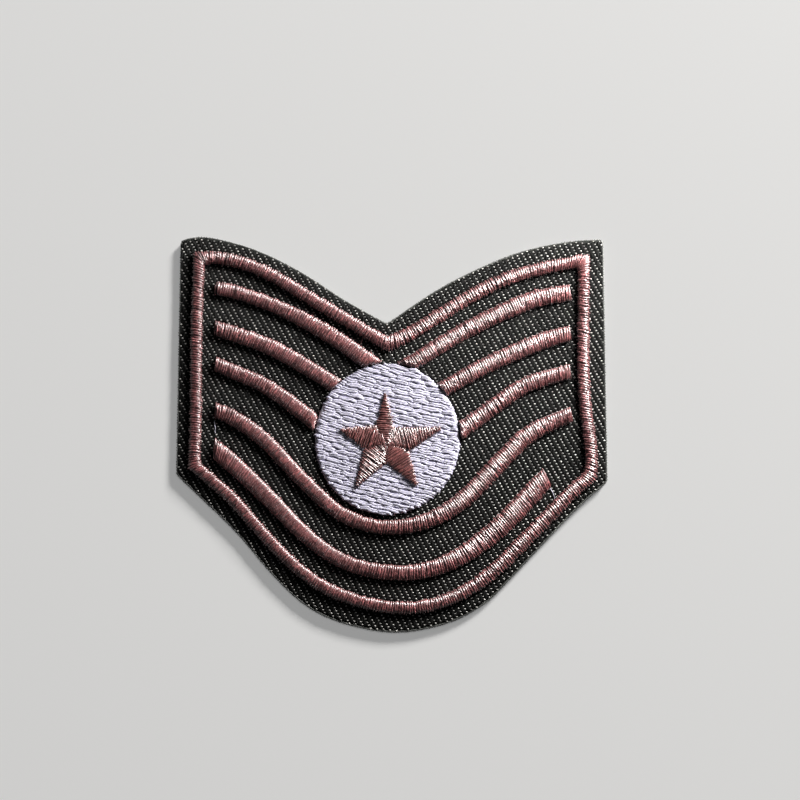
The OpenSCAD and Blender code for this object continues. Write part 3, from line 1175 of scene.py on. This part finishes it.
# %% Cut edge, and the sheet with its pieces
points, faces = edge_bead()
melted_edge = edge_material()
cut_edge = place(make_mesh("cut_edge", points, faces), melted_edge)
melted_ends = yarn_material("melted_ends", (0.085, 0.088, 0.08), roughness=0.4, gloss=0.15, drift=0.3)
cut_ends = make_piece("cut_yarn_ends", yarn_ends(), melted_ends)

# %% [markdown]
# Satin stitch is a zigzag. The needle goes down at one side of the stripe, then at the other, a
# fifth of a millimetre further on each time, so the threads lie almost side by side and fill the
# stripe, and each hole gathers two of them, which gives the sides their fine teeth. The stripe is
# high because padding stitches lie under it. So each stripe gets a solid core, darker than the
# threads as painted shade in the gaps between them, and a thread for every pass of the needle, bent
# over the core in the same arch as the solid's section. No two passes lie quite alike: they differ
# in height, thickness and bow, and every second one sinks a little between its neighbours and is
# painted a little darker, a painted shade, so the light picks out single threads.

# %% Arch of a stitch
round_power = 1.8
end_reach = 0.7
end_share = 0.35


def arch(count):
    """Across and up along a stitch: across is minus the cosine of an angle that runs half a turn, and
    up is its sine to the power of one over a number. A number above one makes full shoulders."""
    a = np.linspace(0, np.pi, count)
    return -np.cos(a), np.maximum(np.sin(a), 0) ** (1 / round_power)


def end_fall(distance):
    """Share of the height kept near a blunt end: a quarter circle that starts at a given share at the
    end and reaches one at a given distance from it."""
    near = np.clip(1 - distance / end_reach, 0, 1)
    return end_share + (1 - end_share) * np.sqrt(1 - near**2)


# %% Passes of thread
satin_pitch = 0.435
satin_w = 0.25
satin_t = 0.20
satin_rows = 11
under_by = 0.11
fan_share = 0.8
hole_places = [0.06, 0.46, 0.5, 0.9]
# How much the passes differ: holes as a share of the pitch, size and girth as shares, others in mm.
hole_stray = 0.12
crown_stray = 0.05
bow_stray = 0.045
plan_stray = 0.018
z_stray = 0.036
size_stray = 0.07
girth_stray = 0.08
pass_painted_shades = [1.06, 0.82]
turn_girths = [1.08, 0.94]
pass_tone = 0.16
speck_middle = -0.06
speck_spread = 0.34
shade_limits = (0.15, 2.2)


def satin(rows, base, height, hole_z, seed, ragged, pull=0.0, under=under_by, blunt=False):
    """Passes of thread over the rungs. Holes lie alternately at the low and the high end of the
    rungs. Along the stripe they advance by half the pitch, a little less inside a pair. Where the
    rungs fan, the pitch is held halfway between the two sides, or at four fifths of the longer side
    if that is more. Every second pass lies lower, and its colour is darker, a painted shade. The
    passes nearest a blunt end sink, which rounds it off."""
    draw = np.random.default_rng(seed)
    low, high = rung_points(rows, -1), rung_points(rows, 1)
    steps = np.stack([np.linalg.norm(np.diff(e, axis=0), axis=1) for e in (low, high)])
    along = np.r_[0, np.cumsum(np.maximum(steps.mean(0), fan_share * steps.max(0)))]
    pairs = max(int(round(along[-1] / satin_pitch)), 2)
    gap = along[-1] / pairs
    at = (np.arange(pairs)[:, None] + np.array(hole_places)) * gap
    at = at + draw.normal(0, hole_stray, at.shape) * gap

    def hole(ends, s):
        """The points at the distances s along the line through these ends of the rungs."""
        return np.stack([np.interp(s, along, ends[:, k]) for k in (0, 1)], -1)

    start = np.stack([hole(low, at[:, 0]), hole(high, at[:, 2])], 1).reshape(-1, 2)
    stop = np.stack([hole(high, at[:, 1]), hole(low, at[:, 3])], 1).reshape(-1, 2)
    ahead = unit(stop - start)
    start = start + ahead * (pull + draw.uniform(-ragged, ragged, (len(start), 1)))
    stop = stop - ahead * (pull + draw.uniform(-ragged, ragged, (len(stop), 1)))

    across, up = arch(satin_rows)
    length = np.linalg.norm(stop - start, axis=1)
    crown = base + np.minimum(height, thread_h + arch_rise * length) - satin_t / 2
    crown = crown - np.tile([0, under], pairs) - np.abs(draw.normal(0, crown_stray, len(crown)))
    if blunt:
        middle = np.stack([at[:, :2].mean(1), at[:, 2:].mean(1)], 1).reshape(-1)
        crown = base + (crown - base) * end_fall(np.minimum(middle, along[-1] - middle))
    plan = (start + stop)[:, None] / 2 + (stop - start)[:, None] / 2 * across[:, None]
    bow = draw.normal(0, bow_stray, len(crown))[:, None] * (1 - across**2)
    plan = plan + np.stack([-ahead[:, 1], ahead[:, 0]], 1)[:, None] * bow[..., None]
    plan = plan + draw.normal(0, plan_stray, plan.shape)
    z = hole_z + (crown - hole_z)[:, None] * up + draw.normal(0, z_stray, plan.shape[:2])
    path = np.concatenate([plan, z[..., None]], -1)
    size = (1 + up) / 2 * (1 + draw.normal(0, size_stray, plan.shape[:2]))
    girth = 1 + draw.normal(0, girth_stray, (len(path), 1))
    # Every second pass gets the darker of the two shades, a painted shade for the low pass, times a random
    # tone for each pass.
    turn = np.tile(pass_painted_shades, pairs)[:, None] * (1 + draw.normal(0, pass_tone, (len(path), 1)))
    speck = np.exp(draw.normal(speck_middle, speck_spread, (pairs, satin_rows)))
    shade = np.clip(turn * np.repeat(speck, 2, axis=0), *shade_limits)
    girth = girth * np.tile(turn_girths, pairs)[:, None]
    return tubes(path, across_of(path), satin_w * size * girth, satin_t * size * girth, shade=shade)


# %% Core under the stitches
core_columns = 9
core_narrower_by = 0.2
core_least_w = 0.1
core_ring_run = 0.2


def padding(rows, base, height, step, inset=0.0):
    """The core under a stripe: the same arch, a little narrower and lower than the threads over it.
    It stops short of a blunt end by the inset, and falls towards it as the threads do."""
    along = length_along(rows)
    at = np.linspace(inset, along[-1] - inset, max(int(along[-1] / step), 4))
    rung = np.stack([np.interp(at, along, column) for column in rows.T], 1)
    across, up = arch(core_columns)
    span = np.maximum(rung[:, 2] - core_narrower_by, core_least_w)
    top = np.minimum(height, thread_h + arch_rise * rung[:, 2]) - satin_t - under_by
    angle = np.radians(rung[:, 3])
    side = np.stack([np.cos(angle), np.sin(angle)], 1)
    plan = rung[:, None, :2] + side[:, None] * (span[:, None] / 2 * across)[..., None]
    if inset > 0:
        top = top * end_fall(np.minimum(at, along[-1] - at) - inset)
    z = base + top[:, None] * up
    return np.concatenate([plan, z[..., None]], -1)


def padding_bundle(rings, shade, closed=False):
    """The core as one closed surface, with its ends closed or joined. It is the one field of the
    board that isn't a thread."""
    count, sides = rings.shape[:2]
    spans = count if closed else count - 1
    row, column = grid_corners(spans, sides)
    walls = (row % count) * sides + column % sides
    # In its square the walls leave a margin, where the two end faces lie as small specks.
    square = 0.05 + 0.9 * np.stack([row / spans, column / sides], -1)
    thread = np.stack([row * core_ring_run, column / sides], -1)
    faces, squares, threads = [walls], [square[None]], [thread[None]]
    if not closed:
        around = np.arange(sides)
        faces.append(np.stack([around[::-1], (count - 1) * sides + around]))
        ring = 2 * np.pi * around / sides
        cap = 0.02 + 0.01 * np.stack([np.cos(ring), np.sin(ring)], -1)
        squares.append(np.stack([cap, cap + [0.95, 0]])[None])
        threads.append(np.zeros((1, 2, sides, 2)))
    return Bundle(rings.reshape(-1, 3), faces, squares, threads, np.full(count * sides, shade))


# %% Stripes
end_inset = 0.32
stripe_hole_z = cloth_t - 0.2
stripe_ragged = 0.14
line_pull = -0.02
bar_pull = 0.08
core_sink = 0.1
core_step = 0.4
# The core is the stripe's own thread made darker: painted shade where it shows between the threads.
core_painted_shade = 0.4
for number, (name, rows) in enumerate(stripe_rungs.items()):
    closed = name == "border_line"
    pull, inset = (line_pull, 0.0) if closed else (bar_pull, end_inset)
    rings = padding(rows, stitch_z - core_sink, rib_h + core_sink, core_step, inset)[:, ::-1]
    core = padding_bundle(rings[:-1] if closed else rings, core_painted_shade, closed)
    seed = 100 + number
    threads = satin(rows, stitch_z, rib_h, stripe_hole_z, seed, stripe_ragged, pull, blunt=not closed)
    make_piece(name + "_stitches", [threads, core], rose_rayon, [name])

# %% [markdown]
# The star's arms are satin too, each sewn in its own direction, straight across the arm. They lie on
# the disc, are narrower, and their ragged sides show, because the arms are little wider than a few
# threads. An arm is widest at its inner corners, and tapers to the tip and to the star's middle. The
# solids of the arms keep a gap. The sewn ones don't: each arm's threads reach a little over the arm
# that was sewn before it, so the last arm lies highest.

# %% Rungs of an arm
arm_overlap = 0.24
arm_root_w = 0.32
arm_rows = 120
# Where an arm starts along its axis. The top arm starts beyond the star's middle.
arm_root = 0.1
top_arm_root = -0.7
arm_roots = {name: top_arm_root if name == "star_point_top" else arm_root for name in star_arms}


def arm_side(s, corner_s, corner_w, reach):
    """Half width of an arm on one side: in proportion to the distance up to the inner corner, and
    from there in a straight line down to half the tip's width."""
    return np.where(
        s < corner_s,
        corner_w * s / corner_s,
        corner_w + (arm_tip_w / 2 - corner_w) * (s - corner_s) / (reach - corner_s),
    )


def corner_at(distance, turn):
    """How far along an arm's axis an inner corner lies, and how far beside it."""
    return distance * np.cos(np.radians(turn)), distance * np.sin(np.radians(turn))


def arm_rungs(arm, before, root):
    """Rungs of one arm from the star's middle to its tip, square to the arm's axis. Its left inner
    corner is in the row of the arm before it."""
    axis, reach, right_angle, right_distance = arm
    left_angle, left_distance = before[2:]
    right_s, right_w = corner_at(right_distance, axis - right_angle)
    left_s, left_w = corner_at(left_distance, left_angle - axis)
    s = np.linspace(root, reach, arm_rows)
    left = np.maximum(arm_side(s, left_s, left_w, reach) - arm_gap / 2, arm_least_w)
    right = np.maximum(arm_side(s, right_s, right_w, reach) - arm_gap / 2, arm_least_w)
    over = arm_overlap * (s < min(left_s, right_s))
    left, right = np.maximum(left + over, arm_root_w), np.maximum(right + over, arm_root_w)
    out = np.array([np.cos(np.radians(axis)), np.sin(np.radians(axis))])
    side = np.array([-out[1], out[0]])
    middle = star_middle + s[:, None] * out + ((left - right) / 2)[:, None] * side
    return np.column_stack([middle, left + right, np.full(len(s), axis + 90)])


# %% Star
sewn_h = 0.38
arm_sink = 0.03
arm_hole_z = star_z - 0.16
arm_ragged = 0.2
arm_under = 0.07
arm_core_sink = 0.08
arm_core_step = 0.5
# The arm's core is its thread made darker: painted shade where it shows between the threads.
arm_core_painted_shade = 0.5
sewn_over = {
    "star_point_top": 0.0,
    "star_point_left": 0.01,
    "star_point_lower_right": 0.02,
    "star_point_lower_left": 0.035,
    "star_point_right": 0.05,
}
names = list(star_arms)
for number, name in enumerate(names):
    rows = arm_rungs(star_arms[name], star_arms[names[number - 1]], arm_roots[name])
    base = star_z + sewn_over[name] - arm_sink
    rings = padding(rows, base - arm_core_sink, sewn_h, arm_core_step)[:, ::-1]
    core = padding_bundle(rings, arm_core_painted_shade)
    threads = satin(rows, base, sewn_h, arm_hole_z, 200 + number, arm_ragged, under=arm_under)
    make_piece(name + "_stitches", [threads, core], star_rayon, [name])

# %% [markdown]
# The disc is fill stitch: straight rows, each a pair of threads that the needle sews there and back,
# with a hole every few millimetres, staggered from row to row. The rows stray a little sideways, so the
# dark gaps between them open and close and show as rows of short dashes. At the rim the threads turn
# down, so the rim is ragged. A flat disc with stripes painted on would lack both. The rows lie on a
# plain core, as the stripes do, a little darker than the threads: painted shade in the gaps.

# %% Rows of the fill
row_gap = 0.857
pair_gap = 0.31
row_angle = -13.5
row_bend = 0.0022
fill_stitch = 3.0
row_range = (-13.7, 13.8)
row_move = 0.4
row_move_stray = 0.25
# Every fiftieth of a millimetre a row is tried for lying on the disc. It needs sixty such points.
scan_reach = 14.5
scan_count = 1451
scan_least = 60
hole_numbers = np.arange(-6, 7)
hole_run_stray = 0.3
own_hole_stray = 0.12
rim_inset = 0.04
rim_stray = 0.11
rim_clear = 0.7


def row_points(s, v):
    """Points at the distance s along a row that passes v beside the disc's middle. Rows lie at a slant
    and bend like very flat arcs."""
    a = np.radians(row_angle)
    along, beside = np.array([np.cos(a), np.sin(a)]), np.array([-np.sin(a), np.cos(a)])
    return disc_middle + s[..., None] * along + (v + row_bend / 2 * s**2)[..., None] * beside


def row_stitches():
    """Start, end, place beside the middle and row number of every fill stitch, and whether it starts or
    stops at the rim. A row is a pair of threads, there and back through the same holes. The holes are
    a stitch apart, moved by two fifths of a stitch from each row to the next."""
    draw = np.random.default_rng(31)
    scan = np.linspace(-scan_reach, scan_reach, scan_count)
    found = []
    for number, middle in enumerate(np.arange(*row_range, row_gap)):
        offset = (number * row_move % 1) * fill_stitch + draw.normal(0, row_move_stray)
        holes = offset + fill_stitch * hole_numbers + draw.normal(0, hole_run_stray, len(hole_numbers))
        for side in (-0.5, 0.5):
            v = middle + side * pair_gap
            inside = scan[disc_radius(row_points(scan, v), -rim_inset) < 1]
            if len(inside) < scan_least:
                continue
            first, last = inside[[0, -1]] + draw.normal(0, rim_stray, 2)
            own = holes + draw.normal(0, own_hole_stray, len(holes))
            own = own[(own > first + rim_clear) & (own < last - rim_clear)]
            stops = np.r_[first, own, last]
            ends = np.zeros((len(stops) - 1, 4))
            ends[:, 0], ends[:, 1] = v, number
            ends[0, 2] = ends[-1, 3] = 1
            found.append(np.column_stack([stops[:-1], stops[1:], ends]))
    return np.vstack(found)


# %% Fill threads
row_waves = [[0.04, 0.9], [0.06, 2.1], [0.055, 3.3]]
rows_at_most = 64
fill_w = 0.47
fill_t = 0.165
hole_dip = 0.09
rim_dip = 0.62
fill_stray = 0.03
fill_kink = 0.022
fill_z_stray = 0.025
fill_tone = 0.06
fill_speck = 0.10
fill_shades = (0.7, 1.15)


def row_wander(s, number):
    """How far a row strays sideways: three sines along it, each with a size and a rate, and with a
    phase of the row's own."""
    draw = np.random.default_rng(33)
    phase = draw.uniform(0, 2 * np.pi, (len(row_waves), rows_at_most))[:, number.astype(int)][..., None]
    size, rate = np.array(row_waves).T[..., None, None]
    return sum(size * np.sin(rate * s + phase))


def fill_threads():
    """Fill stitches: level along their middle, they dip at each end, by the third power of the way from
    the middle at a hole in the fill, and by its fifth power, down to the cloth, at the rim."""
    draw = np.random.default_rng(32)
    start, stop, v, number, rim_start, rim_stop = row_stitches().T
    share = np.array([0, 0.04, 0.12, 0.24, 0.37, 0.5, 0.63, 0.76, 0.88, 0.96, 1.0])
    s = start[:, None] + (stop - start)[:, None] * share
    wander = draw.normal(0, fill_stray, (len(v), 1)) + draw.normal(0, fill_kink, s.shape)
    plan = row_points(s, v[:, None] + (wander + row_wander(s, number)))
    away = np.maximum(np.stack([1 - 2 * share, 2 * share - 1]), 0)
    at_hole, at_rim = hole_dip * away**3, rim_dip * away**5
    dip = np.where(rim_start[:, None] > 0, at_rim[0], at_hole[0])
    dip = dip + np.where(rim_stop[:, None] > 0, at_rim[1], at_hole[1])
    z = stitch_z + disc_h - fill_t / 2 - np.abs(draw.normal(0, fill_z_stray, (len(v), 1))) - dip
    path = np.concatenate([plan, z[..., None]], -1)
    spread = np.array([0.66, 0.76, 0.9, 1.0, 1.0, 1.0, 1.0, 1.0, 0.9, 0.76, 0.66])
    size = spread * (1 + draw.normal(0, size_stray, s.shape))
    girth = 1 + draw.normal(0, girth_stray, (len(v), 1))
    shade = 1 + draw.normal(0, fill_tone, (len(v), 1)) + draw.normal(0, fill_speck, s.shape)
    shade = np.clip(shade, *fill_shades)
    return tubes(path, across_of(path), fill_w * size * girth, fill_t * size * girth, sides=8, shade=shade)


# %% Disc
disc_core_sides = 96
disc_core_under = 0.2
# The core is the white thread made a little darker: painted shade in the gaps between the rows.
disc_core_painted_shade = 0.85
disc_mean_r = 13


def fill_core():
    """Body of the fill: rings in the ellipse's shape, from the cloth up and in over a soft rim."""
    turn = np.linspace(0, 2 * np.pi, disc_core_sides, endpoint=False)
    shape = np.stack([disc_w / 2 * np.cos(turn), disc_l / 2 * np.sin(turn)], 1)
    top = stitch_z + disc_h - disc_core_under
    profile = np.array([[0.05, stitch_z - 0.1], [0.1, top - 0.2], [0.35, top - 0.05], [0.7, top]])
    inset, z = profile.T
    plan = disc_middle + shape * (1 - inset / disc_mean_r)[:, None, None]
    return np.concatenate([plan, np.broadcast_to(z[:, None, None], (*plan.shape[:2], 1))], -1)


fill = fill_threads()
core = padding_bundle(fill_core(), disc_core_painted_shade)
make_piece("disc_fill_stitches", [fill, core], white_rayon, ["disc_fill"])
print("fill stitches:", fill.squares[0].shape[0])

# %% [markdown]
# A sewn patch is never quite clean. The thread that jumps from one shape to the next is trimmed by
# hand, and short ends stay. The photograph shows a few pale ones beside the stripes and on the star.

# %% Loose ends: thread, slot and shade, and x, y and height of the points that each follows
loose_ends = {
    "loose_end_left": (white_rayon, "white_thread", 0.9, [
        [-31.4, 1.9, 1.25],
        [-31.35, 1.4, 1.36],
        [-31.2, 0.7, 1.4],
        [-31.25, 0.1, 1.33],
        [-31.2, -0.3, 1.22],
    ]),
    "loose_end_right": (white_rayon, "white_thread", 0.9, [
        [28.0, -10.1, 1.22],
        [28.15, -10.5, 1.36],
        [28.4, -11.0, 1.38],
        [28.55, -11.5, 1.32],
        [28.7, -11.8, 1.22],
    ]),
    "loose_end_notch": (rose_rayon, "rose_thread", 1.2, [
        [-5.1, 17.3, 1.25],
        [-5.2, 16.9, 1.34],
        [-5.3, 16.4, 1.36],
        [-5.5, 15.8, 1.22],
    ]),
    "loose_end_star_1": (rose_rayon, "star_thread", 1.5, [
        [-3.0, 0.1, 2.2],
        [-3.2, -0.35, 2.5],
        [-3.35, -1.0, 2.55],
        [-3.5, -1.8, 2.3],
    ]),
    "loose_end_star_2": (rose_rayon, "star_thread", 1.6, [
        [-1.75, -0.5, 2.35],
        [-1.6, -1.1, 2.53],
        [-1.4, -1.9, 2.56],
        [-1.2, -2.7, 2.52],
        [-1.1, -3.3, 2.3],
    ]),
    "loose_end_star_3": (rose_rayon, "star_thread", 1.5, [
        [-1.0, -1.1, 2.4],
        [-0.6, -1.4, 2.55],
        [-0.15, -1.85, 2.55],
        [0.2, -2.3, 2.35],
    ]),
}
loose_w = 0.16
loose_t = 0.13
loose_steps = 4


def loose_end(points, shade):
    """A short thread along a smooth line through its points."""
    path = spline(points, loose_steps)[None]
    width, thick = (np.full(path.shape[:2], size) for size in (loose_w, loose_t))
    return tubes(path, across_of(path), width, thick, shade=shade)


for name, (material, slot, shade, points) in loose_ends.items():
    make_piece(name, [loose_end(points, shade)], material)
print("triangles in all:", sum(triangles_in(piece.data) for piece in pieces))

# %% [markdown]
# The patch lies on its back on a plain pale floor, because nothing that the photograph shows would
# hold it upright. The camera keeps the photograph's angle to the stitched face, which is nearly
# square on, and its long lens. A soft lamp stands low at the upper right, so that every ridge of thread
# has a bright and a dark side. A second one, small, low and close, makes the right side the brighter, as
# in the photograph. In a studio a card would keep its light off the table, and here light linking does:
# it reaches the pieces of the patch alone. A wash from above does the opposite. It lights the floor
# alone, so the floor is pale and even from all sides. A weak lamp and a pale sky fill the shadows.

# %% Floor
def floor_material():
    """Plain pale paper."""
    material, tree, shader = new_material("pale_floor")
    shader.inputs["Base Color"].default_value = (0.88, 0.88, 0.87, 1)
    shader.inputs["Roughness"].default_value = 0.9
    return material


floor_reach = 2400.0
floor_corners = floor_reach * np.array([[-1, -1, 0], [1, -1, 0], [1, 1, 0], [-1, 1, 0]])
floor_mesh = make_mesh("floor", floor_corners, [np.arange(4)[None]])
floor_mesh.materials.append(floor_material())
floor = put_in_scene("floor", floor_mesh)
print("floor:", round(2 * floor_reach * MM, 1), "m square")

# %% Lamps
def soft_lamp(name, place_mm, aim_mm, size_mm, watts, color):
    """A square softbox that faces a point."""
    light = bpy.data.lights.new(name, "AREA")
    light.size = size_mm * MM
    light.energy = watts
    light.color = color
    lamp = put_in_scene(name, light)
    lamp.location = Vector(place_mm) * MM
    lamp.rotation_euler = (Vector(aim_mm) - Vector(place_mm)).to_track_quat("-Z", "Y").to_euler()
    return lamp


def shine_on(lamp, name, things):
    """Keeps a lamp's light on these things alone."""
    lit = bpy.data.collections.new(name)
    for thing in things:
        lit.objects.link(thing)
    lamp.light_linking.receiver_collection = lit


soft_lamp("key_lamp", (690, 880, 450), (0, 0, 0), size_mm=260, watts=16.0, color=(1.0, 0.985, 0.97))
side_lamp = soft_lamp("side_lamp", (92, 78, 42), (8, 8, 1), size_mm=40, watts=0.46, color=(1.0, 0.98, 0.96))
shine_on(side_lamp, "patch_pieces", pieces)
soft_lamp("fill_lamp", (-300, -200, 500), (0, 0, 0), size_mm=400, watts=0.09, color=(0.92, 0.95, 1.0))
wash = bpy.data.lights.new("floor_wash", "SUN")
wash.energy = 1.0
wash.angle = np.radians(40.0)
shine_on(put_in_scene("floor_wash", wash), "floor_only", [floor])
world = bpy.data.worlds.new("pale_room")
world.use_nodes = True
sky = world.node_tree.nodes["Background"]
sky.inputs["Color"].default_value = (0.93, 0.95, 1.0, 1)
sky.inputs["Strength"].default_value = 0.025
bpy.context.scene.world = world
bpy.context.scene.view_settings.view_transform = "Standard"
print("lamps:", [lamp.name for lamp in bpy.data.lights])

# %% Camera
camera_place = (1.449, -40.912, 332.662)
camera_tilt = 8.0
camera_data = bpy.data.cameras.new("camera")
camera_data.lens = 85
camera_data.sensor_width = 36
camera_data.clip_start = 0.01
camera = put_in_scene("camera", camera_data)
camera.location = [x * MM for x in camera_place]
camera.rotation_euler = (np.radians(camera_tilt), 0, 0)
bpy.context.scene.camera = camera
print("camera:", round(Vector(camera_place).length), "mm from the middle of the patch")
